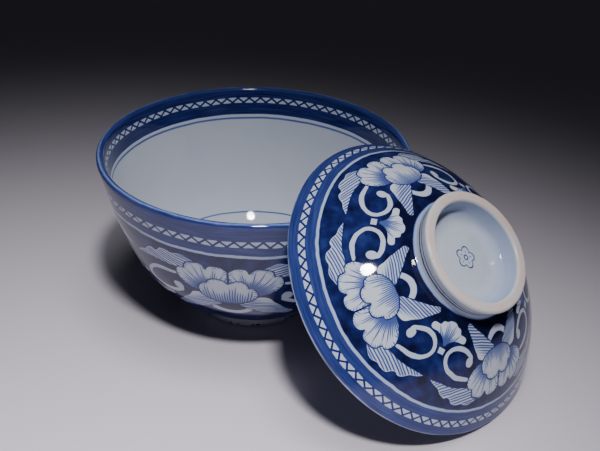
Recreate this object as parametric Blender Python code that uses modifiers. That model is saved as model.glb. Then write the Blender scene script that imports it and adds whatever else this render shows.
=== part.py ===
"""Covered porcelain rice bowl: a footed bowl and its domed lid.

Metres, +Z up. The bowl stands on its foot ring. The lid leans on the bowl's lip with its
lower edge on the same surface. +X runs from the bowl towards the lid, and the origin is at
the middle of the pair's footprint. The lid is a loose piece that lifts straight up.
"""

from math import cos, hypot, pi, radians, sin

import bpy

OBJECT_NAME = "covered rice bowl"
TURN_STEPS = 56
MERGE_DISTANCE = 0.00005
LIP_SEGMENTS = 4
SPAN_SEGMENTS = 3

# Bowl: radius and height of its outer wall, from the foot up to the lip
BOWL_X = -0.0288
BOWL_WALL_LINE = (
    (0.0230, 0.0051),
    (0.0346, 0.0122),
    (0.0457, 0.0252),
    (0.0533, 0.0430),
    (0.0597, 0.0653),
)
BOWL_WALL = 0.0026
BOWL_FLOOR = 0.0080
# Share of the foot's radius, and the floor's rise there
BOWL_FLOOR_RISE = ((0.45, 0.0002), (0.80, 0.0011))
BOWL_FOOT_RADIUS = 0.0217
BOWL_FOOT_INNER_RADIUS = 0.0186
BOWL_FOOT_ROUNDING = 0.0004
BOWL_RECESS = 0.0036
# Steps in from the foot's inner wall, each with its drop below the recess's flat
BOWL_RECESS_CORNER = ((0.0003, 0.0010), (0.0014, 0.0))

# Lid: radius and height of its outer wall above the bottom of its lip, from the lip up
LID_WALL_LINE = (
    (0.0544, 0.0025),
    (0.0510, 0.0066),
    (0.0460, 0.0119),
    (0.0384, 0.0184),
    (0.0290, 0.0244),
    (0.0220, 0.0269),
)
LID_WALL = 0.0029
LID_CROWN = 0.0244
LID_CROWN_BLEND = 0.0006
LID_HEIGHT = 0.0348
LID_FOOT_RADIUS = 0.02215
LID_FOOT_BASE_RADIUS = 0.0210
LID_FOOT_BASE_RISE = 0.0011
LID_FOOT_INNER_RADIUS = 0.0182
LID_FOOT_ROUNDING = 0.0010
LID_RECESS = 0.0068
# Steps in from the foot's inner wall, each with its rise above the recess's flat
LID_RECESS_CORNER = ((0.0030, 0.0), (0.0008, 0.0012))

# Rise of both recesses in the middle
RECESS_DOME = 0.0006

# Lid at rest: its tilt, and the distance of its rim's middle from the bowl's axis
LID_TILT = radians(45.3)
LID_DISTANCE = 0.0764

PORCELAIN_BLUE = (0.045, 0.075, 0.260, 1.0)
PORCELAIN_WHITE = (0.560, 0.580, 0.620, 1.0)
GLAZE_ROUGHNESS = 0.12


def empty_scene():
    """Remove whatever objects the file holds."""
    for old in list(bpy.data.objects):
        bpy.data.objects.remove(old, do_unlink=True)


def glaze(name, colour):
    """Glossy glazed porcelain of one average colour."""
    material = bpy.data.materials.new(name)
    material.use_nodes = True
    shader = material.node_tree.nodes["Principled BSDF"]
    shader.inputs["Base Color"].default_value = colour
    shader.inputs["Roughness"].default_value = GLAZE_ROUGHNESS
    shader.inputs["Metallic"].default_value = 0.0
    return material


def smooth_line(points):
    """Points along a smooth curve through the given (radius, height) points."""
    first = tuple(2 * a - b for a, b in zip(points[0], points[1]))
    last = tuple(2 * a - b for a, b in zip(points[-1], points[-2]))
    padded = [first, *points, last]
    line = [points[0]]
    for before, start, end, after in zip(padded, padded[1:], padded[2:], padded[3:]):
        for step in range(1, SPAN_SEGMENTS + 1):
            t = step / SPAN_SEGMENTS
            point = tuple(
                0.5 * (2 * s + (e - b) * t + (2 * b - 5 * s + 4 * e - a) * t ** 2
                       + (3 * s - b - 3 * e + a) * t ** 3)
                for b, s, e, a in zip(before, start, end, after)
            )
            line.append(point)
    return line


def offset_line(line, distance):
    """The line moved to its left, as seen while walking along it."""
    moved = []
    for index, (radius, height) in enumerate(line):
        before = line[max(index - 1, 0)]
        after = line[min(index + 1, len(line) - 1)]
        along = (after[0] - before[0], after[1] - before[1])
        length = hypot(*along)
        moved.append((
            radius - distance * along[1] / length,
            height + distance * along[0] / length,
        ))
    return moved


def round_lip(start, end, side):
    """Points of a half circle from one wall's edge to the other, without its ends."""
    middle = ((start[0] + end[0]) / 2, (start[1] + end[1]) / 2)
    arm = (start[0] - middle[0], start[1] - middle[1])
    points = []
    for step in range(1, LIP_SEGMENTS):
        angle = side * pi * step / LIP_SEGMENTS
        points.append((
            middle[0] + arm[0] * cos(angle) - arm[1] * sin(angle),
            middle[1] + arm[0] * sin(angle) + arm[1] * cos(angle),
        ))
    return points


def corner(radius, height, rounding, start_angle, turn):
    """Three points round a corner whose arc is centred at (radius, height)."""
    points = []
    for step in range(3):
        angle = start_angle + turn * step / 2
        points.append((radius + rounding * cos(angle), height + rounding * sin(angle)))
    return points


def bowl_profile():
    """Half section of the bowl, from the middle of its floor, over the lip, to the foot."""
    outside = smooth_line(BOWL_WALL_LINE)
    inside = offset_line(outside, BOWL_WALL)
    floor = [(0.0, BOWL_FLOOR)]
    floor += [(share * BOWL_FOOT_RADIUS, BOWL_FLOOR + rise) for share, rise in BOWL_FLOOR_RISE]
    wall = [point for point in inside if point[0] > BOWL_FOOT_RADIUS and point[1] > floor[-1][1]]
    lip = round_lip(inside[-1], outside[-1], -1)
    edge = BOWL_FOOT_ROUNDING
    foot = corner(BOWL_FOOT_RADIUS - edge, edge, edge, 0.0, -pi / 2)
    foot += corner(BOWL_FOOT_INNER_RADIUS + edge, edge, edge, -pi / 2, -pi / 2)
    recess = [
        (BOWL_FOOT_INNER_RADIUS - step, BOWL_RECESS - drop) for step, drop in BOWL_RECESS_CORNER
    ]
    recess.append((0.0, BOWL_RECESS + RECESS_DOME))
    return floor + wall + lip + outside[::-1] + foot + recess


def lid_profile():
    """Half section of the lid, from the middle of its foot's recess to the inside's crown."""
    outside = smooth_line(LID_WALL_LINE)
    inside = offset_line(outside, LID_WALL)
    edge = LID_FOOT_ROUNDING
    top = LID_HEIGHT - edge
    flat = LID_HEIGHT - LID_RECESS
    recess = [(0.0, flat + RECESS_DOME)]
    recess += [(LID_FOOT_INNER_RADIUS - step, flat + rise) for step, rise in LID_RECESS_CORNER]
    foot = corner(LID_FOOT_INNER_RADIUS + edge, top, edge, pi, -pi / 2)
    foot += corner(LID_FOOT_RADIUS - edge, top, edge, pi / 2, -pi / 2)
    lip = round_lip(outside[0], inside[0], -1)
    base = [(LID_FOOT_BASE_RADIUS, LID_WALL_LINE[-1][1] + LID_FOOT_BASE_RISE)]
    crown = [(0.0, LID_CROWN)]
    wall = [point for point in inside if point[1] < LID_CROWN - LID_CROWN_BLEND]
    return recess + foot + base + outside[::-1] + lip + wall + crown


def turned(name, profile, material, collection):
    """Solid of revolution about the object's own Z axis."""
    mesh = bpy.data.meshes.new(name)
    vertices = [(radius, 0.0, height) for radius, height in profile]
    edges = [(index, index + 1) for index in range(len(profile) - 1)]
    mesh.from_pydata(vertices, edges, [])
    mesh.materials.append(material)
    piece = bpy.data.objects.new(name, mesh)
    collection.objects.link(piece)
    screw = piece.modifiers.new("turn", "SCREW")
    screw.axis = "Z"
    screw.angle = 2 * pi
    screw.screw_offset = 0.0
    screw.steps = TURN_STEPS
    screw.render_steps = TURN_STEPS
    screw.use_merge_vertices = True
    screw.merge_threshold = MERGE_DISTANCE
    screw.use_smooth_shade = True
    return piece


def lid_height_at_rest(profile):
    """Height of the lid's own origin when the lowest point of its lip touches the surface."""
    lowest = min(height * cos(LID_TILT) - radius * sin(LID_TILT) for radius, height in profile)
    return -lowest


def build():
    """Make the bowl and the lid in their collection."""
    empty_scene()
    collection = bpy.data.collections.new(OBJECT_NAME)
    bpy.context.scene.collection.children.link(collection)

    bowl = turned("bowl", bowl_profile(), glaze("bowl_glaze", PORCELAIN_WHITE), collection)
    bowl.location = (BOWL_X, 0.0, 0.0)

    section = lid_profile()
    lid = turned("lid", section, glaze("lid_glaze", PORCELAIN_BLUE), collection)
    lid.location = (BOWL_X + LID_DISTANCE, 0.0, lid_height_at_rest(section))
    lid.rotation_euler = (0.0, LID_TILT, 0.0)


build()
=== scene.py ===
"""Covered porcelain rice bowl, its lid leaning on it: cobalt painting under a clear glaze.

Metres, +Z up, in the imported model's frame. The painting's own measures are in millimetres
along the surface.
"""

from math import atan2, cos, hypot, pi, radians, sin, tau

import bmesh
import bpy
from mathutils import Matrix, Vector


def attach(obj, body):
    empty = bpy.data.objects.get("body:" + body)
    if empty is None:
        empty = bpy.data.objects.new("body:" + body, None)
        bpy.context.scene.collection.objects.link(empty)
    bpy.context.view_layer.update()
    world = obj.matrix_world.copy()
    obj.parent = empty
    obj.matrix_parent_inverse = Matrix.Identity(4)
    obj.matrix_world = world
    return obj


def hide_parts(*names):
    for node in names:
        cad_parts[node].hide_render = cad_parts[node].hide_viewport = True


MM = 0.001
TURN_STEPS = 224
SPAN_SEGMENTS = 14
LIP_SEGMENTS = 12
CORNER_SEGMENTS = 7

# Bowl, as the CAD part has it: radius and height of its outer wall, from the foot up
BOWL_X = -0.0288
BOWL_WALL_LINE = (
    (0.0230, 0.0051),
    (0.0346, 0.0122),
    (0.0457, 0.0252),
    (0.0533, 0.0430),
    (0.0597, 0.0653),
)
BOWL_WALL = 0.0026
BOWL_FLOOR = 0.0080
BOWL_FLOOR_RISE = 0.0011
BOWL_FLOOR_SHARES = (0.1, 0.2, 0.3, 0.4, 0.5, 0.6, 0.7, 0.8)
BOWL_FOOT_RADIUS = 0.0217
BOWL_FOOT_INNER_RADIUS = 0.0186
BOWL_FOOT_ROUNDING = 0.0004
BOWL_FOOT_FLAT = 0.0004
BOWL_RECESS = 0.0036
BOWL_RECESS_SHARES = (0.75, 0.5, 0.25, 0.0)
# Steps in from the foot's inner wall, each with its drop below the recess's flat
BOWL_RECESS_CORNER = ((0.0003, 0.0010), (0.0014, 0.0))

# Lid: radius and height of its outer wall above the bottom of its lip, from the lip up
LID_WALL_LINE = (
    (0.0544, 0.0025),
    (0.0510, 0.0066),
    (0.0460, 0.0119),
    (0.0384, 0.0184),
    (0.0290, 0.0244),
    (0.0220, 0.0269),
)
LID_WALL = 0.0029
LID_CROWN = 0.0244
LID_CROWN_BLEND = 0.0006
LID_CROWN_SHARES = (0.0, 0.12, 0.25, 0.4, 0.55, 0.7, 0.85)
LID_HEIGHT = 0.0348
LID_FOOT_RADIUS = 0.02215
LID_FOOT_BASE_RADIUS = 0.0210
# Steps out from the foot's base, each with its rise above the wall's last point
LID_FOOT_BASE = ((0.0003, 0.0004), (0.0, 0.0011))
LID_FOOT_SHARES = (0.25, 0.5, 0.75, 0.9)
LID_FOOT_INNER_RADIUS = 0.0182
LID_FOOT_ROUNDING = 0.0010
LID_FOOT_INNER_STEP = 0.0003
LID_FOOT_INNER_DROP = 0.0018
LID_RECESS = 0.0068
LID_RECESS_SHARES = (0.6, 0.5, 0.3, 0.0)
# Steps in from the foot's inner wall, each with its rise above the recess's flat
LID_RECESS_CORNER = ((0.0008, 0.0012), (0.0016, 0.0004), (0.0030, 0.0))
RECESS_DOME = 0.0006
LID_TILT = radians(45.3)
LID_DISTANCE = 0.0764
# Share of its CAD size that keeps the finer-stepped lid inside the CAD model's box
LID_TRIM = 0.9992

# Camera: where it stands, what it looks at, and its lens on a 36 mm wide sensor
CAMERA_PLACE = (0.25414, -0.31661, 0.27390)
CAMERA_AIM = (-0.01371, 0.01005, 0.03500)
CAMERA_ROLL = 0.0316
CAMERA_LENS = 74.5
CAMERA_SENSOR = 36.0
CAMERA_RANGE = (0.01, 20.0)

# Studio
FLOOR_HALF = 3.0
FLOOR_COLOUR = (0.56, 0.53, 0.595, 1.0)
FLOOR_ROUGHNESS = 0.6
ROOM_COLOUR = (0.018, 0.018, 0.021, 1.0)
LIGHTS = (
    {
        "name": "key", "place": (0.43, -0.42, 1.10), "aim": (0.06, -0.15, 0.0), "width": 0.15,
        "watts": 0.56, "colour": (1.0, 0.98, 0.97), "spread": radians(28.0), "mirrored": True,
    },
    {
        "name": "top", "place": (0.10, -0.10, 0.78), "aim": (0.08, -0.19, 0.0), "width": 0.36,
        "watts": 0.36, "colour": (0.97, 0.96, 1.0), "spread": radians(50.0), "mirrored": False,
    },
)

# Where each painted wall's parts lie, in millimetres along the wall: outside from the lip
# down to the foot, inside from the lip down to the middle. axis turns the flowers round the
# piece, flat_rim is the flat painting's radius at the lip, and stretch spreads the painting
# along the deeper bowl. A foot line is a place and half a width, and a ring a start, an end
# and its ink.
BOWL_OUTSIDE = {
    "axis": radians(-58.2), "flat_rim": 71.0, "offset": 3.2, "stretch": 1.2,
    "edge": (-2.3, -1.5), "edge_ink": 0.42, "border": (6.1, 8.9), "line": (12.7, 14.1),
    "count": 72, "foot": 70.9, "foot_lines": ((71.2, 0.30), (78.1, 0.25)), "ticks": (77.2, 78.4),
}
LID_OUTSIDE = {
    "axis": radians(-95.6), "flat_rim": 70.96, "offset": 0.0, "stretch": 1.0,
    "edge": (-4.6, -0.9), "edge_ink": 0.14, "border": (2.8, 5.2), "line": (8.6, 9.7),
    "count": 78, "foot": 41.3, "foot_lines": ((44.6, 0.28), (46.0, 0.16)), "ticks": (40.3, 40.9),
}
BOWL_INSIDE = {
    "lip": 4.08, "band_end": 9.9, "border": (2.9, 5.1), "count": 75,
    "rings": ((11.1, 11.9, 0.56), (51.2, 51.8, 0.54)),
}
LID_INSIDE = {
    "lip": 4.56, "band_end": 7.6, "border": (2.6, 4.8), "count": 75,
    "rings": ((8.6, 9.3, 0.56), (43.0, 43.6, 0.54)),
}
BOWL_CLAY = (78.8, 81.3)
LID_CLAY = (49.7, 52.8)

# Colours: an amount of ink from 0, bare white, to 1, the darkest blue, with its fired colour
INK_COLOURS = (
    (0.00, (0.555, 0.590, 0.655, 1.0)),
    (0.22, (0.290, 0.370, 0.570, 1.0)),
    (0.50, (0.095, 0.140, 0.370, 1.0)),
    (0.72, (0.030, 0.047, 0.195, 1.0)),
    (0.88, (0.009, 0.014, 0.090, 1.0)),
    (1.00, (0.004, 0.005, 0.026, 1.0)),
)
THIN_GLAZE_COLOUR = (0.545, 0.580, 0.620, 1.0)
CLAY_COLOUR = (0.660, 0.500, 0.450, 1.0)
GRIT_COLOUR = (0.090, 0.062, 0.050, 1.0)
GLAZE_IOR = 1.52
GLAZE_ROUGHNESS = 0.045
RECESS_ROUGHNESS = 0.08

# Unevenness: sizes of noise in millimetres, and how far it moves lines or changes the ink
WOBBLE_SIZE = 14.0
FINE_SIZE = 2.4
CLOUD_SIZE = 5.0
CLOUD_DETAIL = 4.0
SMOOTH_DETAIL = 1.0
WALL_DRIFT = 1.5
WALL_FINE_DRIFT = 0.28
FLOWER_DRIFT = 0.9
TURN_DRIFT = 0.05
TURN_FINE_DRIFT = 0.008
INSIDE_WOBBLE_SIZE = 16.0
INSIDE_DRIFT = 0.9
SPECK_SIZE = 1.1
SPECK_LEVELS = (0.73, 0.80)
BODY_SIZE = 11.0
RECESS_BODY_SIZE = 8.0
BODY_DETAIL = 3.0
BAND_SOFTNESS = 0.12
GLAZE_WAVE_SIZE = 9.0
GLAZE_RIPPLE_SIZE = 2.2
GLAZE_RIPPLE_SHARE = 0.12
GLAZE_WAVE_DEPTH = 0.12
BUMP_STRENGTH = 0.35
CLAY_GRAIN_SIZE = 0.5
CLAY_GRAIN_DEPTH = 0.05
CLAY_DETAIL = 4.0
CLAY_TINT_SIZE = 6.0
CLAY_EDGE_DRIFT = 1.2
CLAY_EDGE_FINE_DRIFT = 0.4
CLAY_EDGE_SOFTNESS = 0.35
CLAY_TINT_SHARES = (0.8, 0.2)
CLAY_WARMTH_LEVELS = (0.30, 0.70)
CLAY_WARMTH_SPREAD = 0.75
CLAY_LEAST_WARMTH = 0.25
CLAY_ROUGHENING = 0.42
THIN_GLAZE_ROUGHNESS = 0.12
GRIT_LEVELS = (0.64, 0.70)
GRIT_ZONE = (-0.9, 0.3)
GRIT_SOFTNESS = 0.3
GRIT_SHARE = 0.75
TICK_LEVELS = (0.54, 0.62)
TICK_SOFTNESS = 0.25

# The dark ground, which darkens towards the foot
GROUND_INK = 0.90
GROUND_CLOUDS = (0.50, 0.20)
GROUND_LIGHTEST = 0.70
GROUND_FOOT_REACH = 14.0
GROUND_FOOT_INK = 0.12
GROUND_EDGE_INK = 0.92
GROUND_EDGE = (0.1, 0.7)
GROUND_EDGE_SOFTNESS = 0.2

# The rim's blue bands, pale line and rings
BAND_INK = 0.76
BAND_STREAKS = 0.40
INSIDE_BAND_INK = 0.84
INSIDE_BAND_STREAKS = 0.35
BLUE_EDGE = (0.1, -0.2)
PALE_LINE_INK = 0.15
PALE_LINE_STREAKS = 0.2
PALE_LINE_SOFTNESS = 0.22
RIM_EDGE_SOFTNESS = 0.35
RIM_EDGE_DRIFT = 0.2
INSIDE_BAND_SOFTNESS = 0.15
RING_SOFTNESS = 0.25
RING_DRIFT = 0.5
RING_FAINTEST = 0.75
INSIDE_INK = 0.035
INSIDE_CLOUDS = 0.05
SPECK_INK = 0.10
FOOT_EDGE = (-0.2, 0.5)
FOOT_PALE_INK = 0.06
FOOT_POOL_INK = 0.22
FOOT_POOL_REACH = 2.4
FOOT_LINE_INK = 0.70
FOOT_LINE_DRIFT = 0.3

# Recess: ring and painted shade by the wall in millimetres from the middle, and the lid's blossom
RECESS_INK = 0.05
RECESS_RING = (9.0, 9.3)
PAINTED_RECESS_SHADE = (12.5, 17.5)
RING_AND_PAINTED_SHADE_INK = 0.12
RECESS_CLOUDS = 0.08
BLOSSOM_PETALS = 5
BLOSSOM_RADIUS = 2.7
BLOSSOM_LOBE = 1.3
BLOSSOM_EYE = 0.8
BLOSSOM_SPOKES = (1.3, 2.6)
BLOSSOM_STROKE = (0.34, 0.16)
BLOSSOM_EYE_STROKE = (0.30, 0.14)
BLOSSOM_SPOKE_LEVELS = (0.985, 0.998)
BLOSSOM_INK = 0.74

# Brushwork in millimetres, and amounts of ink
INK_PLAIN = 0.07
INK_HATCH = 0.60
INK_LINE = 0.86
INK_BORDER_WHITE = 0.09
LINE_WIDTH = 0.38
LINE_OUTSET = 0.10
EDGE_SOFTNESS = 0.10
ZIGZAG_STROKE_OUTSIDE = 0.170
ZIGZAG_STROKE_INSIDE = 0.19
STREAK_TURN = 0.22
STREAK_WIDTH = 0.55
STREAK_DETAIL = 3.0
# A ray's length, from the shortest, is a share of its reach; it tapers to its tip
RAY_SHORTEST = 0.62
RAY_SPREAD = 0.55
RAY_TIP_WIDTH = 0.16
RAY_TAPER = 0.20
RAY_SOFTNESS = 0.13
RAY_END = (1.0, 0.70)
RAY_WASH_REACH = 1.1
RAY_WASH_INK = 0.20
RAY_PALE_INK = 0.03
HATCH_DRIFT = 0.3
HATCH_WIDTH = (0.40, 0.14)
HATCH_PALE_INK = 0.04
FRINGE_SHORTEST = 0.5
FRINGE_SPREAD = 1.9
FRINGE_WIDTH = (0.30, 0.08)
FRINGE_END = (1.0, 0.35)
FRINGE_SHARE = 0.85
ZIGZAG_LEAN = 0.62
ZIGZAG_CROSSING = 0.06
ZIGZAG_CORE = 0.45
REPEATS = 4
HALF_REPEAT = pi / REPEATS

# --- numbers that vary over a surface -------------------------------------------------------

class Value:
    """The output of shader nodes, with sums written as ordinary arithmetic."""

    def __init__(self, tree, socket):
        self.tree = tree
        self.socket = socket

    def made(self, kind, inputs, **settings):
        """A node whose inputs are linked to values or set to numbers."""
        node = self.tree.nodes.new(kind)
        for name, setting in settings.items():
            setattr(node, name, setting)
        for place, item in inputs.items():
            if isinstance(item, Value):
                self.tree.links.new(item.socket, node.inputs[place])
            else:
                node.inputs[place].default_value = item
        return node

    def math(self, operation, *others):
        inputs = dict(enumerate((self, *others)))
        node = self.made("ShaderNodeMath", inputs, operation=operation)
        return Value(self.tree, node.outputs[0])

    def __add__(self, other):
        return self.math("ADD", other)

    def __sub__(self, other):
        return self.math("SUBTRACT", other)

    def __mul__(self, other):
        return self.math("MULTIPLY", other)

    def __truediv__(self, other):
        return self.math("DIVIDE", other)

    def flipped(self, total):
        """total minus this."""
        node = self.made("ShaderNodeMath", {0: total, 1: self}, operation="SUBTRACT")
        return Value(self.tree, node.outputs[0])

    def low(self, other):
        return self.math("MINIMUM", other)

    def high(self, other):
        return self.math("MAXIMUM", other)

    def size(self):
        return self.math("ABSOLUTE")

    def root(self):
        return self.math("SQRT")

    def sine(self):
        return self.math("SINE")

    def cosine(self):
        return self.math("COSINE")

    def whole(self):
        return self.math("ROUND")

    def bearing(self, other):
        """Angle of the point (other, self)."""
        return self.math("ARCTAN2", other)

    def wrapped(self, limit):
        """This, brought between -limit and limit by whole spans."""
        return self.math("WRAP", limit, -limit)

    def toward(self, other, share):
        """A mix of this and another value, all the other at a share of 1."""
        node = self.made("ShaderNodeMix", {0: share, 2: self, 3: other}, data_type="FLOAT")
        return Value(self.tree, node.outputs[0])

    def fade(self, start, end):
        """0 up to start, 1 from end on, smooth between them."""
        node = self.made(
            "ShaderNodeMapRange",
            {0: self, 1: start, 2: end},
            interpolation_type="SMOOTHSTEP",
        )
        return Value(self.tree, node.outputs[0])

    def uneven(self, amount):
        """This noise about zero, an amount from its lowest to its highest."""
        return (self - 0.5) * amount

    def chance(self, seed):
        """A number from 0 to 1 that is the same for the same value."""
        node = self.made("ShaderNodeTexWhiteNoise", {1: self + seed}, noise_dimensions="1D")
        return Value(self.tree, node.outputs[0])

    def follow(self, points):
        """The height at this value of a smooth curve through (0..1, 0..1) points."""
        node = self.made("ShaderNodeFloatCurve", {1: self})
        curve = node.mapping.curves[0]
        curve.points[0].location = points[0]
        curve.points[1].location = points[-1]
        for point in points[1:-1]:
            curve.points.new(*point)
        node.mapping.update()
        return Value(self.tree, node.outputs[0])


# --- the painting ---------------------------------------------------------------------------

# Outlines in millimetres on the lid laid flat: x across a flower, y out from the middle
FRONT_PETAL = (
    (-10.6, 45.0), (-9.6, 42.4), (-6.4, 40.6), (-1.0, 39.9), (4.0, 40.4), (7.8, 42.0),
    (9.2, 44.4), (8.8, 46.8), (7.0, 47.6), (6.4, 49.6), (3.4, 51.2), (1.0, 50.6),
    (-0.2, 49.8), (-1.6, 51.0), (-5.0, 51.4), (-7.4, 50.0), (-8.0, 48.6), (-9.8, 47.6),
)
BACK_PETAL = (
    (6.0, 43.6), (10.0, 43.2), (14.0, 43.6), (17.4, 45.2), (19.2, 47.6), (18.6, 50.2),
    (16.6, 51.4), (16.4, 53.4), (14.0, 55.2), (11.2, 56.2), (9.2, 55.4), (8.4, 54.8),
    (7.4, 56.4), (4.8, 57.3), (2.0, 56.8), (0.2, 55.4), (-1.4, 53.0), (-2.6, 49.6),
)
LOWER_LEAF = (
    (2.6, 40.4), (4.4, 37.6), (7.0, 35.0), (9.6, 32.4), (12.6, 29.8), (16.0, 27.4),
    (15.9, 30.6), (15.0, 34.6), (13.8, 38.2), (12.2, 41.6), (8.6, 42.8), (4.6, 42.6),
)
# The same measures with x across the gap between two flowers
FAN_LEAF = (
    (0.0, 41.4), (1.4, 39.9), (3.2, 38.6), (5.8, 37.7), (9.0, 37.0), (9.6, 35.8),
    (8.0, 34.9), (5.9, 35.1), (4.9, 33.8), (3.0, 33.4), (1.8, 32.6), (0.0, 32.3),
    (-4.0, 33.5), (-8.0, 35.0), (-9.0, 37.0), (-4.0, 38.4),
)
LEAF_INNER_EDGE = (
    (0.0, 53.2), (3.0, 52.9), (8.0, 52.5), (12.0, 52.0), (16.0, 50.9), (20.0, 49.0),
    (26.0, 46.0), (32.0, 45.0),
)
LEAF_OUTER_EDGE = (
    (0.0, 52.6), (1.6, 53.1), (5.0, 54.5), (8.0, 55.1), (10.0, 56.2), (12.6, 56.6),
    (14.6, 55.6), (18.0, 56.6), (21.0, 55.6), (22.4, 54.6), (26.0, 53.6), (29.0, 50.4),
    (32.0, 44.0),
)
OUTLINE_REACH = 20.0
LEAF_SPAN = 32.0
LEAF_RISE = (40.0, 20.0)
SCROLL_MIDDLE = (11.3, 43.4)
SCROLL_HALVES = (7.7, 5.0)
SCROLL_TAIL = ((22.0, 44.6), (18.6, 46.4), (15.4, 47.6))
SCROLL_TURN = (radians(75.0), radians(305.0))
SCROLL_END = (16.4, 40.6)
SCROLL_STEPS = 16
SCROLL_BULB = (15.7, 41.1)
SCROLL_BULB_RADIUS = 2.05
SCROLL_HALF_WIDTH = 1.05
# How far the mouth lies below the scroll's middle line, in radians
SCROLL_MOUTH = 0.21
SCROLL_MOUTH_EDGES = (0.35, 0.29)
SCROLL_MOUTH_CUT = 3.0
NODE_HALF_LENGTH = 1.7
NODE_HALF_HEIGHT = 1.2
NODE_HEIGHT = 43.0
STEM_MIDDLE = (0.0, 41.4)
STEM_RADIUS = 7.6
STEM_HALF_WIDTH = 1.35
FAN_LEAF_MIDDLE = (0.0, 37.0)
LOWER_LEAF_MIDDLE = (10.4, 37.4)
BACK_PETAL_MIDDLE = (8.6, 50.0)
FRONT_PETAL_MIDDLE = (-0.6, 45.4)
# How far past the flower's middle line a back petal may reach
BACK_PETAL_OVERLAP = 0.22
# The lower leaf's strokes start past this line and are full at the second distance
LOWER_LEAF_SHADE = (0.66, 0.75, 31.2)
LOWER_LEAF_FADE = (7.0, 3.4)
SIDE_LEAF_HATCH = {"angle": radians(52.0), "spacing": 1.05, "seed": 3.1}
SIDE_LEAF_FADE = (-0.2, 1.0)
LOWER_LEAF_HATCH = {"angle": radians(70.0), "spacing": 0.95, "seed": 7.7}
FAN_RAYS = {"root": (0.0, 43.0), "spacing": 0.115, "start": 1.5, "reach": 9.6, "seed": 5.3}
BACK_RAYS = {"root": (6.0, 44.0), "spacing": 0.090, "start": 1.0, "reach": 12.6, "seed": 11.9}
FRONT_RAYS = {"root": (-0.5, 20.0), "spacing": 0.036, "start": 19.0, "reach": 28.5, "seed": 17.3}
BACK_FRINGE = {"middle": BACK_PETAL_MIDDLE, "spacing": 0.105, "seed": 23.3}
FRONT_FRINGE = {"middle": FRONT_PETAL_MIDDLE, "spacing": 0.115, "seed": 29.7}


def polar(x, y, middle):
    """Distance and angle of a point from a middle."""
    across = x - middle[0]
    up = y - middle[1]
    return (across * across + up * up).root(), up.bearing(across)


def closed_curve(points, middle):
    """Radius about a middle, as a curve over one whole turn, through outline points."""
    spots = sorted(
        (atan2(y - middle[1], x - middle[0]) / tau + 0.5,
         hypot(x - middle[0], y - middle[1]) / OUTLINE_REACH)
        for x, y in points
    )
    (first, low), (last, high) = spots[0], spots[-1]
    seam = high + (low - high) * (1 - last) / (1 - last + first)
    return [(0.0, seam), *spots, (1.0, seam)]


def outline(x, y, middle, points):
    """Signed distance outside a closed outline, near enough."""
    distance, angle = polar(x, y, middle)
    share = angle / tau + 0.5
    return distance - share.follow(closed_curve(points, middle)) * OUTLINE_REACH


def open_curve(points):
    """An edge read across the gap between two flowers, as a curve from 0 to 1."""
    return [(x / LEAF_SPAN, (y - LEAF_RISE[0]) / LEAF_RISE[1]) for x, y in points]


def edge_height(place, points):
    """Height of an edge at each place across the gap."""
    return (place / LEAF_SPAN).follow(open_curve(points)) * LEAF_RISE[1] + LEAF_RISE[0]


def scroll_line():
    """Points along the middle of a scroll's stroke, from its tail round to its bulb."""
    points = list(SCROLL_TAIL)
    start, end = SCROLL_TURN
    for step in range(SCROLL_STEPS + 1):
        angle = start + (end - start) * step / SCROLL_STEPS
        points.append((
            SCROLL_MIDDLE[0] + SCROLL_HALVES[0] * cos(angle),
            SCROLL_MIDDLE[1] + SCROLL_HALVES[1] * sin(angle),
        ))
    return [*points, SCROLL_END]


def rays(x, y, root, spacing, start, reach, seed):
    """Brush strokes running outward from a root, each its own length, over a faint wash."""
    distance, angle = polar(x, y, root)
    place = angle / spacing
    number = place.whole()
    aside = (place - number).size() * distance * spacing
    length = reach - start
    end = number.chance(seed) * (RAY_SPREAD * length) + (start + RAY_SHORTEST * length)
    along = (distance - start) / (end - start)
    width = along.fade(0.0, 1.0).flipped(1.0) * RAY_TAPER + RAY_TIP_WIDTH
    stroke = (aside - width).fade(RAY_SOFTNESS, -RAY_SOFTNESS) * along.fade(*RAY_END) * INK_HATCH
    wash = along.fade(RAY_WASH_REACH, 0.0) * RAY_WASH_INK
    return stroke.high(wash) + RAY_PALE_INK


def hatch(x, y, angle, spacing, seed):
    """Straight, nearly even brush strokes at an angle, over a faint wash."""
    place = (x * cos(angle) + y * sin(angle)) / spacing
    number = place.whole()
    drift = number.chance(seed).uneven(HATCH_DRIFT)
    aside = (place - number - drift).size() * spacing
    return aside.fade(*HATCH_WIDTH) * INK_HATCH + HATCH_PALE_INK


def fringe(x, y, edge, middle, spacing, seed):
    """Short strokes that start at an outline and run in towards its middle."""
    distance, angle = polar(x, y, middle)
    place = angle / spacing
    number = place.whole()
    aside = (place - number).size() * distance * spacing
    length = number.chance(seed) * FRINGE_SPREAD + FRINGE_SHORTEST
    reach = edge.flipped(0.0) / length
    return aside.fade(*FRINGE_WIDTH) * reach.fade(*FRINGE_END) * (INK_HATCH * FRINGE_SHARE)


class Painting:
    """Ink laid on in order, later strokes over earlier ones."""

    def __init__(self, ink):
        self.ink = ink

    def reserve(self, edge, inside):
        """A white shape with its own strokes inside and a dark line round it."""
        self.ink = self.ink.toward(inside, edge.fade(EDGE_SOFTNESS, -EDGE_SOFTNESS))
        aside = (edge - LINE_OUTSET).size()
        self.ink = self.ink.high(aside.fade(LINE_WIDTH, 0.5 * LINE_WIDTH) * INK_LINE)


def side_leaf(painting, x, y):
    """The long leaf across the gap between two flowers, hatched at its outer edge."""
    inner = edge_height(x, LEAF_INNER_EDGE)
    outer = edge_height(x, LEAF_OUTER_EDGE)
    strokes = hatch(x, y, **SIDE_LEAF_HATCH) * (outer - y).fade(*SIDE_LEAF_FADE)
    painting.reserve((inner - y).high(y - outer), strokes)


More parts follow.
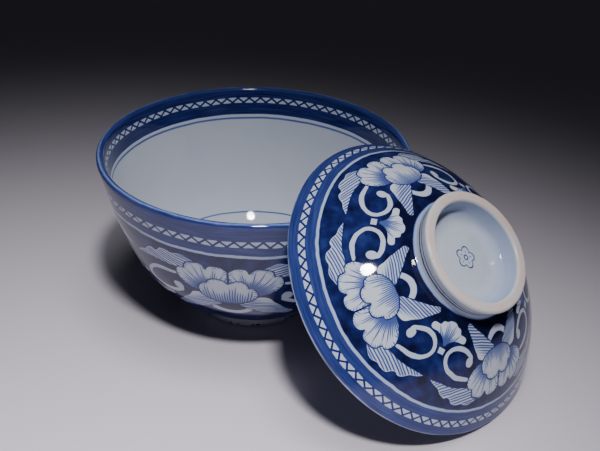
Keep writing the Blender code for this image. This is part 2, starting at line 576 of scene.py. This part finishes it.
def scroll(painting, x, y):
    """A curling stem that ends in a bulb."""
    distance, angle = polar(x, y, SCROLL_MIDDLE)
    path = (angle / tau + 0.5).follow(closed_curve(scroll_line(), SCROLL_MIDDLE)) * OUTLINE_REACH
    mouth = (angle + SCROLL_MOUTH).size().fade(*SCROLL_MOUTH_EDGES)
    stem = (distance - path).size() - SCROLL_HALF_WIDTH + mouth * SCROLL_MOUTH_CUT
    bulb_distance, _ = polar(x, y, SCROLL_BULB)
    painting.reserve(stem.low(bulb_distance - SCROLL_BULB_RADIUS), INK_PLAIN)


def fan(painting, x, y):
    """The node where two scrolls meet, and the fan leaf that grows from it."""
    node = (x - NODE_HALF_LENGTH).high((y - NODE_HEIGHT).size() - NODE_HALF_HEIGHT)
    painting.reserve(node, INK_PLAIN)
    strokes = rays(x, y, **FAN_RAYS)
    painting.reserve(outline(x, y, FAN_LEAF_MIDDLE, FAN_LEAF), strokes)


def stem(painting, x, y):
    """The arc of stem that shows between the lower leaves."""
    distance, _ = polar(x, y, STEM_MIDDLE)
    painting.reserve((distance - STEM_RADIUS).size() - STEM_HALF_WIDTH, INK_PLAIN)


def lower_leaf(painting, x, y):
    """A pointed leaf under the flower, hatched towards its root."""
    strokes = hatch(x, y, **LOWER_LEAF_HATCH)
    across, up, line = LOWER_LEAF_SHADE
    strokes = strokes * (x * across + y * up - line).fade(*LOWER_LEAF_FADE)
    painting.reserve(outline(x, y, LOWER_LEAF_MIDDLE, LOWER_LEAF), strokes)


def back_petal(painting, x, y):
    """One of the two petals behind."""
    strokes = rays(x, y, **BACK_RAYS)
    petal = outline(x, y, BACK_PETAL_MIDDLE, BACK_PETAL).high(x.flipped(BACK_PETAL_OVERLAP))
    painting.reserve(petal, strokes.high(fringe(x, y, petal, **BACK_FRINGE)))


def front_petal(painting, x, y):
    """The petal in front of the others."""
    strokes = rays(x, y, **FRONT_RAYS)
    petal = outline(x, y, FRONT_PETAL_MIDDLE, FRONT_PETAL)
    painting.reserve(petal, strokes.high(fringe(x, y, petal, **FRONT_FRINGE)))


def flowers(radius, turn, ground):
    """Ink of the flowers, leaves and scrolls, from the radius on the flat lid and the turn."""
    painting = Painting(ground)
    turn = turn.wrapped(HALF_REPEAT)
    half = turn.size()
    x = radius * half.sine()
    y = radius * half.cosine()
    signed_x = radius * turn.sine()
    rest = half.flipped(HALF_REPEAT)
    gap_x = radius * rest.sine()
    gap_y = radius * rest.cosine()
    side_leaf(painting, gap_x, gap_y)
    scroll(painting, gap_x, gap_y)
    fan(painting, gap_x, gap_y)
    stem(painting, x, y)
    lower_leaf(painting, x, y)
    back_petal(painting, x, y)
    front_petal(painting, signed_x, y)
    return painting.ink


# --- materials ------------------------------------------------------------------------------

def band(depth, start, end, soft=BAND_SOFTNESS):
    """1 between two depths, 0 outside them."""
    return depth.fade(start - soft, start + soft) * depth.fade(end + soft, end - soft)


def zigzag(ink, depth, turn, start, end, count, width):
    """A white band crossed by dark slanting strokes that meet at its edges."""
    height = (depth - start) / (end - start)
    place = turn * (count / tau)
    lean = height * ZIGZAG_LEAN - ZIGZAG_CROSSING
    stroke = (place + lean).wrapped(0.5).size().low((place - lean).wrapped(0.5).size())
    lines = stroke.fade(width, ZIGZAG_CORE * width) * INK_LINE
    return ink.toward(lines.high(INK_BORDER_WHITE), band(depth, start, end))


def own_place(tree):
    """Where a point is about its own piece's axis, however the piece leans."""
    place = tree.nodes.new("ShaderNodeAttribute")
    place.attribute_name = "home"
    return place.outputs["Vector"]


def flat_place(tree, place):
    """The two numbers of a place across the axis."""
    parts = tree.nodes.new("ShaderNodeSeparateXYZ")
    tree.links.new(place, parts.inputs[0])
    return [Value(tree, parts.outputs[index]) for index in range(2)]


def surface_values(tree):
    """Depth along the wall from the lip in millimetres, turn about the axis, and place."""
    depth = tree.nodes.new("ShaderNodeAttribute")
    depth.attribute_name = "run"
    place = own_place(tree)
    x, y = flat_place(tree, place)
    return Value(tree, depth.outputs["Fac"]), y.bearing(x), place


def noise(tree, place, size, detail=2.0):
    """Three unrelated noises from 0 to 1, their features a given number of millimetres wide."""
    scaled = tree.nodes.new("ShaderNodeVectorMath")
    scaled.operation = "MULTIPLY"
    tree.links.new(place, scaled.inputs[0])
    scaled.inputs[1].default_value = [1.0 / (size * MM)] * 3
    cloud = tree.nodes.new("ShaderNodeTexNoise")
    tree.links.new(scaled.outputs[0], cloud.inputs["Vector"])
    cloud.inputs["Scale"].default_value = 1.0
    cloud.inputs["Detail"].default_value = detail
    parts = tree.nodes.new("ShaderNodeSeparateColor")
    tree.links.new(cloud.outputs["Color"], parts.inputs[0])
    return [Value(tree, socket) for socket in parts.outputs]


def streaks(tree, depth, turn):
    """Noise drawn out round the piece, as a loaded brush leaves on a wheel."""
    join = tree.nodes.new("ShaderNodeCombineXYZ")
    parts = (turn.sine() / STREAK_TURN, turn.cosine() / STREAK_TURN, depth / STREAK_WIDTH)
    for index, part in enumerate(parts):
        tree.links.new(part.socket, join.inputs[index])
    cloud = tree.nodes.new("ShaderNodeTexNoise")
    tree.links.new(join.outputs[0], cloud.inputs["Vector"])
    cloud.inputs["Scale"].default_value = 1.0
    cloud.inputs["Detail"].default_value = STREAK_DETAIL
    return Value(tree, cloud.outputs["Fac"])


def new_material(name):
    """A material, its node tree and its shader."""
    material = bpy.data.materials.new(name)
    material.use_nodes = True
    tree = material.node_tree
    return material, tree, tree.nodes["Principled BSDF"]


def ink_colour(tree, ink):
    """The fired colour of an amount of ink."""
    ramp = tree.nodes.new("ShaderNodeValToRGB")
    stops = ramp.color_ramp.elements
    stops[0].position, stops[0].color = INK_COLOURS[0]
    stops[1].position, stops[1].color = INK_COLOURS[-1]
    for position, colour in INK_COLOURS[1:-1]:
        stops.new(position).color = colour
    tree.links.new(ink.socket, ramp.inputs[0])
    return ramp.outputs[0]


def add_bump(tree, shader, height, depth):
    """Relief that follows a height from 0 to 1, its full depth in millimetres."""
    bump = tree.nodes.new("ShaderNodeBump")
    bump.inputs["Strength"].default_value = BUMP_STRENGTH
    bump.inputs["Distance"].default_value = depth * MM
    tree.links.new(height.socket, bump.inputs["Height"])
    tree.links.new(bump.outputs[0], shader.inputs["Normal"])


def glaze_gloss(tree, shader, place, roughness=GLAZE_ROUGHNESS):
    """Clear glaze: very smooth, with a slow hand-thrown unevenness."""
    shader.inputs["Roughness"].default_value = roughness
    shader.inputs["IOR"].default_value = GLAZE_IOR
    waves = noise(tree, place, GLAZE_WAVE_SIZE, SMOOTH_DETAIL)[0]
    ripples = noise(tree, place, GLAZE_RIPPLE_SIZE, SMOOTH_DETAIL)[1]
    waves = waves + ripples * GLAZE_RIPPLE_SHARE
    add_bump(tree, shader, waves, GLAZE_WAVE_DEPTH)


def ground_ink(tree, place, depth, foot):
    """Ink of the cloudy dark ground."""
    clouds = noise(tree, place, CLOUD_SIZE, CLOUD_DETAIL)
    broad, narrow = GROUND_CLOUDS
    ground = clouds[0].uneven(broad) + clouds[1].uneven(narrow) + GROUND_INK
    ground = ground + depth.fade(foot - GROUND_FOOT_REACH, foot) * GROUND_FOOT_INK
    return ground.low(1.0).high(GROUND_LIGHTEST)


def painted_foot(ink, depth, fine, look):
    """The pale foot under the ground, its lines, and the dark ticks at its edge."""
    foot = look["foot"]
    pale = depth.fade(foot + FOOT_POOL_REACH, foot) * FOOT_POOL_INK + FOOT_PALE_INK
    ink = ink.toward(pale, depth.fade(foot + FOOT_EDGE[0], foot + FOOT_EDGE[1]))
    for at, half in look["foot_lines"]:
        line = band(depth, at - half, at + half)
        ink = ink.high(line * (fine[2] * FOOT_LINE_DRIFT + FOOT_LINE_INK))
    ticks = band(depth, *look["ticks"], TICK_SOFTNESS) * fine[1].fade(*TICK_LEVELS)
    return ink.high(ticks)


def painted_outside(name, look):
    """Outer wall: banded rim, zigzag border, and flowers reserved in a dark ground."""
    material, tree, shader = new_material(name)
    depth, turn, place = surface_values(tree)
    wobble = noise(tree, place, WOBBLE_SIZE)
    fine = noise(tree, place, FINE_SIZE)
    depth = depth + wobble[0].uneven(WALL_DRIFT) + fine[0].uneven(WALL_FINE_DRIFT)
    drawn = depth + wobble[1].uneven(FLOWER_DRIFT)
    turn_drawn = turn + wobble[2].uneven(TURN_DRIFT) + fine[1].uneven(TURN_FINE_DRIFT)
    turn_drawn = turn_drawn - look["axis"]
    ground = ground_ink(tree, place, depth, look["foot"])
    stretch = look["stretch"]
    radius = (drawn - look["offset"]).flipped(look["flat_rim"] * stretch) / stretch
    ink = flowers(radius, turn_drawn, ground)
    brush = streaks(tree, depth, turn)
    blue = brush.uneven(BAND_STREAKS) + BAND_INK
    start, end = look["line"]
    pale = brush.uneven(PALE_LINE_STREAKS) + PALE_LINE_INK
    ink = ink.toward(pale, band(depth, start, end, PALE_LINE_SOFTNESS))
    ink = ink.toward(blue, depth.fade(start + BLUE_EDGE[0], start + BLUE_EDGE[1]))
    edge = band(depth, end + GROUND_EDGE[0], end + GROUND_EDGE[1], GROUND_EDGE_SOFTNESS)
    ink = ink.high(edge * GROUND_EDGE_INK)
    ink = zigzag(ink, depth, turn, *look["border"], look["count"], ZIGZAG_STROKE_OUTSIDE)
    # Paler ink at the lip's crest: partly thin glaze, partly a painted highlight along the edge
    thin = fine[2].uneven(RIM_EDGE_DRIFT) + look["edge_ink"]
    ink = ink.toward(thin, band(depth, *look["edge"], RIM_EDGE_SOFTNESS))
    ink = painted_foot(ink, depth, fine, look)
    tree.links.new(ink_colour(tree, ink), shader.inputs["Base Color"])
    glaze_gloss(tree, shader, place)
    return material


def painted_inside(name, look):
    """Inner wall: the same banded rim over a plain white well with fine rings."""
    material, tree, shader = new_material(name)
    depth, turn, place = surface_values(tree)
    wobble = noise(tree, place, INSIDE_WOBBLE_SIZE)
    depth = depth.flipped(-look["lip"]) + wobble[0].uneven(INSIDE_DRIFT)
    specks = noise(tree, place, SPECK_SIZE, SMOOTH_DETAIL)
    body = noise(tree, place, BODY_SIZE, BODY_DETAIL)
    ink = body[0].uneven(INSIDE_CLOUDS) + INSIDE_INK + specks[0].fade(*SPECK_LEVELS) * SPECK_INK
    brush = streaks(tree, depth, turn)
    blue = brush.uneven(INSIDE_BAND_STREAKS) + INSIDE_BAND_INK
    band_end, soft = look["band_end"], INSIDE_BAND_SOFTNESS
    ink = ink.toward(blue, depth.fade(band_end + soft, band_end - soft))
    ink = zigzag(ink, depth, turn, *look["border"], look["count"], ZIGZAG_STROKE_INSIDE)
    for start, end, weight in look["rings"]:
        ring = band(depth, start, end, RING_SOFTNESS)
        ink = ink.high(ring * (wobble[1] * RING_DRIFT + RING_FAINTEST) * weight)
    tree.links.new(ink_colour(tree, ink), shader.inputs["Base Color"])
    glaze_gloss(tree, shader, place)
    return material


def colour_mix(tree, share, colour):
    """A node that mixes a share of a colour into its first colour input."""
    mix = tree.nodes.new("ShaderNodeMix")
    mix.data_type = "RGBA"
    tree.links.new(share.socket, mix.inputs[0])
    mix.inputs[7].default_value = colour
    return mix


def bare_rim(name, start, end):
    """Foot rim: fired clay where the glaze was wiped off, its edges white with thin glaze."""
    material, tree, shader = new_material(name)
    depth, _, place = surface_values(tree)
    grain = noise(tree, place, CLAY_GRAIN_SIZE, CLAY_DETAIL)
    tint = noise(tree, place, CLAY_TINT_SIZE, BODY_DETAIL)
    ragged = depth + tint[1].uneven(CLAY_EDGE_DRIFT) + grain[0].uneven(CLAY_EDGE_FINE_DRIFT)
    clay = band(ragged, start, end, CLAY_EDGE_SOFTNESS)
    before, after = GRIT_ZONE
    grit_zone = band(ragged, start + before, start + after, GRIT_SOFTNESS)
    grit = grain[2].fade(*GRIT_LEVELS) * grit_zone
    broad, narrow = CLAY_TINT_SHARES
    warmth = (tint[0] * broad + grain[0] * narrow).fade(*CLAY_WARMTH_LEVELS)
    warmth = warmth * CLAY_WARMTH_SPREAD + CLAY_LEAST_WARMTH
    colour = colour_mix(tree, clay * warmth, CLAY_COLOUR)
    colour.inputs[6].default_value = THIN_GLAZE_COLOUR
    dirt = colour_mix(tree, grit * GRIT_SHARE, GRIT_COLOUR)
    tree.links.new(colour.outputs[2], dirt.inputs[6])
    tree.links.new(dirt.outputs[2], shader.inputs["Base Color"])
    roughness = clay * CLAY_ROUGHENING + THIN_GLAZE_ROUGHNESS
    tree.links.new(roughness.socket, shader.inputs["Roughness"])
    add_bump(tree, shader, grain[1] * clay, CLAY_GRAIN_DEPTH)
    return material


def blossom_ink(radius, angle):
    """A small round blossom in outline, with an eye and a spoke between each two petals."""
    lobes = (angle * (0.5 * BLOSSOM_PETALS)).cosine().size()
    petals = lobes * BLOSSOM_LOBE + BLOSSOM_RADIUS
    stroke = (radius - petals).size().fade(*BLOSSOM_STROKE)
    eye = (radius - BLOSSOM_EYE).size().fade(*BLOSSOM_EYE_STROKE)
    spokes = lobes.fade(*BLOSSOM_SPOKE_LEVELS) * band(radius, *BLOSSOM_SPOKES)
    return stroke.high(eye).high(spokes) * BLOSSOM_INK


def plain_recess(name, blossom):
    """Glazed underside inside the foot, with a tooled ring, painted shade by its wall and, if
    asked, a small blossom.
    """
    material, tree, shader = new_material(name)
    place = own_place(tree)
    x, y = (part / MM for part in flat_place(tree, place))
    radius = (x * x + y * y).root()
    angle = y.bearing(x)
    body = noise(tree, place, RECESS_BODY_SIZE, BODY_DETAIL)
    ink = body[0].uneven(RECESS_CLOUDS) + RECESS_INK
    ink = ink.high(band(radius, *RECESS_RING, RING_SOFTNESS) * RING_AND_PAINTED_SHADE_INK)
    # Painted shade: the ink darkens towards the recess's wall, standing in for the shade that
    # falls there
    ink = ink + radius.fade(*PAINTED_RECESS_SHADE) * RING_AND_PAINTED_SHADE_INK
    if blossom:
        ink = ink.high(blossom_ink(radius, angle))
    tree.links.new(ink_colour(tree, ink), shader.inputs["Base Color"])
    glaze_gloss(tree, shader, place, RECESS_ROUGHNESS)
    return material


# --- the shapes -----------------------------------------------------------------------------

def smooth_line(points):
    """Points along a smooth curve through the given (radius, height) points."""
    first = tuple(2 * a - b for a, b in zip(points[0], points[1]))
    last = tuple(2 * a - b for a, b in zip(points[-1], points[-2]))
    padded = [first, *points, last]
    line = [points[0]]
    for before, start, end, after in zip(padded, padded[1:], padded[2:], padded[3:]):
        for step in range(1, SPAN_SEGMENTS + 1):
            t = step / SPAN_SEGMENTS
            line.append(tuple(
                0.5 * (2 * s + (e - b) * t + (2 * b - 5 * s + 4 * e - a) * t ** 2
                       + (3 * s - b - 3 * e + a) * t ** 3)
                for b, s, e, a in zip(before, start, end, after)
            ))
    return line


def offset_line(line, distance):
    """The line moved to its left, as seen while walking along it."""
    moved = []
    for index, (radius, height) in enumerate(line):
        before = line[max(index - 1, 0)]
        after = line[min(index + 1, len(line) - 1)]
        along = (after[0] - before[0], after[1] - before[1])
        length = hypot(*along)
        moved.append((radius - distance * along[1] / length,
                      height + distance * along[0] / length))
    return moved


def arc(middle, start, turn, segments):
    """Points round a middle from a start point through an angle, both ends included."""
    arm = (start[0] - middle[0], start[1] - middle[1])
    points = []
    for step in range(segments + 1):
        angle = turn * step / segments
        points.append((middle[0] + arm[0] * cos(angle) - arm[1] * sin(angle),
                       middle[1] + arm[0] * sin(angle) + arm[1] * cos(angle)))
    return points


def lip(start, end, side):
    """Points of the half circle from one wall's edge to the other, without its ends."""
    middle = ((start[0] + end[0]) / 2, (start[1] + end[1]) / 2)
    return arc(middle, start, side * pi, LIP_SEGMENTS)[1:-1]


def corner(radius, height, rounding, start_angle, turn):
    """Points round a corner whose arc is centred at (radius, height)."""
    start = (radius + rounding * cos(start_angle), height + rounding * sin(start_angle))
    return arc((radius, height), start, turn, CORNER_SEGMENTS)


def within(points, widest):
    """The points with no radius beyond the widest."""
    return [(min(radius, widest), height) for radius, height in points]


def bowl_sections():
    """Half section of the bowl from the middle of its inside to that of its recess."""
    outside = smooth_line(BOWL_WALL_LINE)
    inside = offset_line(outside, BOWL_WALL)
    full = BOWL_FLOOR_SHARES[-1]
    floor = [(0.0, BOWL_FLOOR)]
    floor += [
        (share * BOWL_FOOT_RADIUS, BOWL_FLOOR + BOWL_FLOOR_RISE * (share / full) ** 3)
        for share in BOWL_FLOOR_SHARES
    ]
    wall = [point for point in inside if point[0] > BOWL_FOOT_RADIUS and point[1] > floor[-1][1]]
    rim = within(lip(inside[-1], outside[-1], -1), outside[-1][0])
    edge = BOWL_FOOT_ROUNDING
    foot_wall = [(BOWL_FOOT_RADIUS, edge + BOWL_FOOT_FLAT)]
    foot = corner(BOWL_FOOT_RADIUS - edge, edge, edge, 0.0, -pi / 2)
    foot += corner(BOWL_FOOT_INNER_RADIUS + edge, edge, edge, -pi / 2, -pi / 2)
    recess = [
        (BOWL_FOOT_INNER_RADIUS - step, BOWL_RECESS - drop) for step, drop in BOWL_RECESS_CORNER
    ]
    recess += [
        (share * BOWL_FOOT_INNER_RADIUS, BOWL_RECESS + RECESS_DOME * (1 - share))
        for share in BOWL_RECESS_SHARES
    ]
    return [floor + wall, rim + outside[::-1] + foot_wall, foot, recess]


def lid_sections():
    """Half section of the lid from the middle of its inside to that of its recess."""
    outside = smooth_line(LID_WALL_LINE)
    inside = offset_line(outside, LID_WALL)
    edge = LID_FOOT_ROUNDING
    top = LID_HEIGHT - edge
    wall = [point for point in inside if point[1] < LID_CROWN - LID_CROWN_BLEND]
    last = wall[-1]
    crown = [
        (last[0] * share, LID_CROWN - (LID_CROWN - last[1]) * share ** 3)
        for share in LID_CROWN_SHARES
    ]
    foot_wall = [
        (LID_FOOT_BASE_RADIUS + step, LID_WALL_LINE[-1][1] + rise) for step, rise in LID_FOOT_BASE
    ]
    base = foot_wall[-1]
    foot_wall += [
        (base[0] + (LID_FOOT_RADIUS - base[0]) * share, base[1] + (top - base[1]) * share)
        for share in LID_FOOT_SHARES
    ]
    foot = corner(LID_FOOT_RADIUS - edge, top, edge, 0.0, pi / 2)
    foot += corner(LID_FOOT_INNER_RADIUS + edge, top, edge, pi / 2, pi / 2)
    flat = LID_HEIGHT - LID_RECESS
    recess = [(LID_FOOT_INNER_RADIUS - LID_FOOT_INNER_STEP, top - LID_FOOT_INNER_DROP)]
    recess += [(LID_FOOT_INNER_RADIUS - step, flat + rise) for step, rise in LID_RECESS_CORNER]
    recess += [
        (share * LID_FOOT_INNER_RADIUS, flat + RECESS_DOME * (1 - share))
        for share in LID_RECESS_SHARES
    ]
    rim = lip(inside[0], outside[0], 1)
    return [crown + wall[::-1], rim + outside + foot_wall, foot, recess]


def turned(name, sections, materials, zero, placing):
    """Mesh turned about its own Z axis, a material for each section, and put in place.

    Its attribute home keeps each point's place before that, and run the distance along the
    section past a zero point, in millimetres.
    """
    profile = [point for points in sections for point in points]
    zones = [index for index, points in enumerate(sections) for _ in points]
    runs = [0.0]
    for one, two in zip(profile, profile[1:]):
        runs.append(runs[-1] + hypot(two[0] - one[0], two[1] - one[1]))
    gaps = [hypot(radius - zero[0], height - zero[1]) for radius, height in profile]
    start = runs[gaps.index(min(gaps))]
    vertices, values, rings = [], [], []
    for (radius, height), run in zip(profile, runs):
        count = 1 if radius == 0.0 else TURN_STEPS
        rings.append(range(len(vertices), len(vertices) + count))
        for step in range(count):
            angle = tau * step / TURN_STEPS
            vertices.append((radius * cos(angle), radius * sin(angle), height))
            values.append((run - start) / MM)
    faces, slots = [], []
    for index, (near, far) in enumerate(zip(rings, rings[1:])):
        for step in range(TURN_STEPS):
            after = (step + 1) % TURN_STEPS
            loop = [near[step % len(near)], near[after % len(near)],
                    far[after % len(far)], far[step % len(far)]]
            faces.append([v for place, v in enumerate(loop) if v not in loop[:place]])
            slots.append(zones[index + 1])
    mesh = bpy.data.meshes.new(name)
    mesh.from_pydata(vertices, [], faces)
    for material in materials:
        mesh.materials.append(material)
    mesh.polygons.foreach_set("material_index", slots)
    mesh.polygons.foreach_set("use_smooth", [True] * len(faces))
    mesh.attributes.new("run", "FLOAT", "POINT").data.foreach_set("value", values)
    flat = [number for vertex in vertices for number in vertex]
    mesh.attributes.new("home", "FLOAT_VECTOR", "POINT").data.foreach_set("vector", flat)
    shape = bmesh.new()
    shape.from_mesh(mesh)
    bmesh.ops.recalc_face_normals(shape, faces=shape.faces)
    shape.to_mesh(mesh)
    shape.free()
    mesh.transform(placing)
    piece = bpy.data.objects.new(name, mesh)
    bpy.context.scene.collection.objects.link(piece)
    return piece


def lid_place(sections):
    """Height of the lid's origin that sets the lowest point of its lip on the surface."""
    profile = [point for points in sections for point in points]
    return -min(height * cos(LID_TILT) - radius * sin(LID_TILT) for radius, height in profile)


def build_bowl():
    """The bowl, in place of its CAD solid."""
    sections = bowl_sections()
    materials = [
        painted_inside("bowl_inside_glaze", BOWL_INSIDE),
        painted_outside("bowl_outside_glaze", BOWL_OUTSIDE),
        bare_rim("bowl_foot_clay", *BOWL_CLAY),
        plain_recess("bowl_recess_glaze", False),
    ]
    placing = Matrix.Translation((BOWL_X, 0.0, 0.0))
    piece = turned("bowl_porcelain", sections, materials, BOWL_WALL_LINE[-1], placing)
    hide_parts("bowl")
    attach(piece, "bowl")


def build_lid():
    """The leaning lid, in place of its CAD solid."""
    sections = lid_sections()
    materials = [
        painted_inside("lid_inside_glaze", LID_INSIDE),
        painted_outside("lid_outside_glaze", LID_OUTSIDE),
        bare_rim("lid_foot_clay", *LID_CLAY),
        plain_recess("lid_recess_glaze", True),
    ]
    rest = Matrix.Translation((BOWL_X + LID_DISTANCE, 0.0, lid_place(sections)))
    placing = rest @ Matrix.Rotation(LID_TILT, 4, "Y") @ Matrix.Scale(LID_TRIM, 4)
    piece = turned("lid_porcelain", sections, materials, LID_WALL_LINE[0], placing)
    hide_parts("lid")
    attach(piece, "lid")


def build_floor():
    """Plain pale tabletop."""
    mesh = bpy.data.meshes.new("floor")
    corners = ((-1, -1), (1, -1), (1, 1), (-1, 1))
    vertices = [(FLOOR_HALF * x, FLOOR_HALF * y, 0.0) for x, y in corners]
    mesh.from_pydata(vertices, [], [(0, 1, 2, 3)])
    floor = bpy.data.objects.new("floor", mesh)
    bpy.context.scene.collection.objects.link(floor)
    material, _, shader = new_material("floor_pale")
    shader.inputs["Base Color"].default_value = FLOOR_COLOUR
    shader.inputs["Roughness"].default_value = FLOOR_ROUGHNESS
    mesh.materials.append(material)


def add_light(name, place, aim, width, watts, colour, spread, mirrored):
    """Soft round studio light, seen in glossy surfaces only if mirrored."""
    data = bpy.data.lights.new(name, "AREA")
    data.shape = "DISK"
    data.size = width
    data.energy = watts
    data.color = colour
    data.spread = spread
    light = bpy.data.objects.new(name, data)
    light.location = place
    light.rotation_euler = (Vector(aim) - Vector(place)).to_track_quat("-Z", "Y").to_euler()
    light.visible_glossy = mirrored
    bpy.context.scene.collection.objects.link(light)


def build_studio():
    """Pale floor in a dim room under soft lights."""
    build_floor()
    world = bpy.data.worlds.new("room")
    world.use_nodes = True
    world.node_tree.nodes["Background"].inputs[0].default_value = ROOM_COLOUR
    bpy.context.scene.world = world
    for light in LIGHTS:
        add_light(**light)


def build_camera():
    """The camera at the photograph's viewing angle."""
    data = bpy.data.cameras.new("camera")
    data.lens = CAMERA_LENS
    data.sensor_width = CAMERA_SENSOR
    data.clip_start, data.clip_end = CAMERA_RANGE
    camera = bpy.data.objects.new("camera", data)
    forward = Vector(CAMERA_AIM) - Vector(CAMERA_PLACE)
    turn = forward.to_track_quat("-Z", "Y").to_matrix() @ Matrix.Rotation(CAMERA_ROLL, 3, "Z")
    camera.rotation_euler = turn.to_euler()
    camera.location = CAMERA_PLACE
    bpy.context.scene.collection.objects.link(camera)
    bpy.context.scene.camera = camera


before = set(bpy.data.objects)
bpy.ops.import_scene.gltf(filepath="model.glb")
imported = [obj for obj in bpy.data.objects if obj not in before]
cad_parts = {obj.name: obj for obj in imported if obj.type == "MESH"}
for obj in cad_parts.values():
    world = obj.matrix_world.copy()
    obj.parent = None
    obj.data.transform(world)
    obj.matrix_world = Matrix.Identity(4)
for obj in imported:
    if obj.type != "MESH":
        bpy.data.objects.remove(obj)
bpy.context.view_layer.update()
build_camera()
build_bowl()
build_lid()
build_studio()
